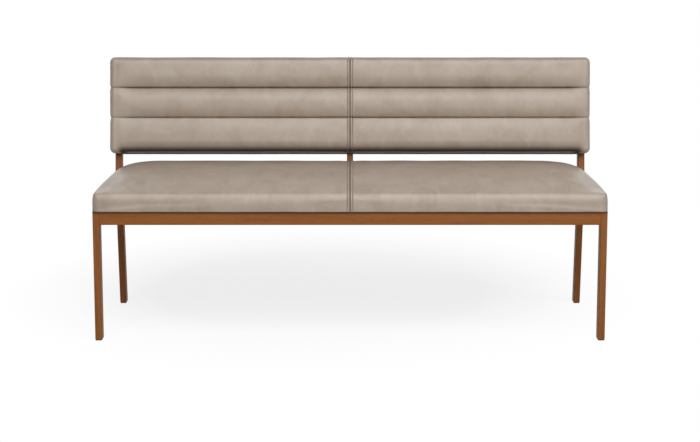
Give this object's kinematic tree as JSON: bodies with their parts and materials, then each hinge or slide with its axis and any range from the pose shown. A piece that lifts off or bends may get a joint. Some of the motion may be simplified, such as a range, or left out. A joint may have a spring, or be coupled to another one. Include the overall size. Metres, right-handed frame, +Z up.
{
  "type": "upholstered banquette bench",
  "caption": "Long upholstered bench with a slender wood frame, a crowned leather seat with a centre seam and a raked back with horizontal padded channels, its posts rising behind the seat.",
  "frame": {"origin": "on the floor, in the middle of the bench's overall box", "axes": "+X along the bench to the sitter's left, which is the right-hand side in a front view; +Y from the front towards the back; +Z up"},
  "size_m": [1.55, 0.6089, 0.8144],
  "materials": {
    "frame_wood": "satin walnut-brown stain",
    "inner_wood": "raw beech",
    "steel": "zinc plated",
    "glide_plastic": "matt dark brown",
    "plywood": "raw birch plywood",
    "foam": "open-cell upholstery foam",
    "fibre_fill": "bonded polyester fibre",
    "leather": "taupe satin leather, lightly mottled",
    "black_cloth": "black non-woven cloth"
  },
  "bodies": {
    "root": {"front_leg_left": "frame_wood", "front_leg_right": "frame_wood", "rear_leg_left": "frame_wood", "rear_leg_right": "frame_wood", "middle_post": "frame_wood", "front_rail": "frame_wood", "rear_rail": "frame_wood", "side_rail_left": "frame_wood", "side_rail_right": "frame_wood", "cross_rail_left": "frame_wood", "cross_rail_middle": "frame_wood", "cross_rail_right": "frame_wood", "corner_blocks": "inner_wood", "corner_block_screws": "steel", "frame_dowels": "inner_wood", "middle_post_screw": "steel", "foot_glides": "glide_plastic", "seat_deck": "plywood", "seat_tee_nuts": "steel", "seat_bolts": "steel", "seat_foam": "foam", "seat_cover_left": "leather", "seat_cover_right": "leather", "seat_dust_cover": "black_cloth", "back_top_rail_left": "inner_wood", "back_top_rail_right": "inner_wood", "back_bottom_rail_left": "inner_wood", "back_bottom_rail_right": "inner_wood", "back_dowels": "inner_wood", "back_panel": "plywood", "back_panel_screws": "steel", "back_slab_foam": "foam", "channel_fill_lower": "fibre_fill", "channel_fill_middle": "fibre_fill", "channel_fill_upper": "fibre_fill", "back_edge_foam": "foam", "back_rear_board": "plywood", "back_rear_foam": "foam", "back_cover_left": "leather", "back_cover_right": "leather", "back_rear_cover": "leather", "back_dust_strip": "black_cloth"}
  },
  "joints": []
}
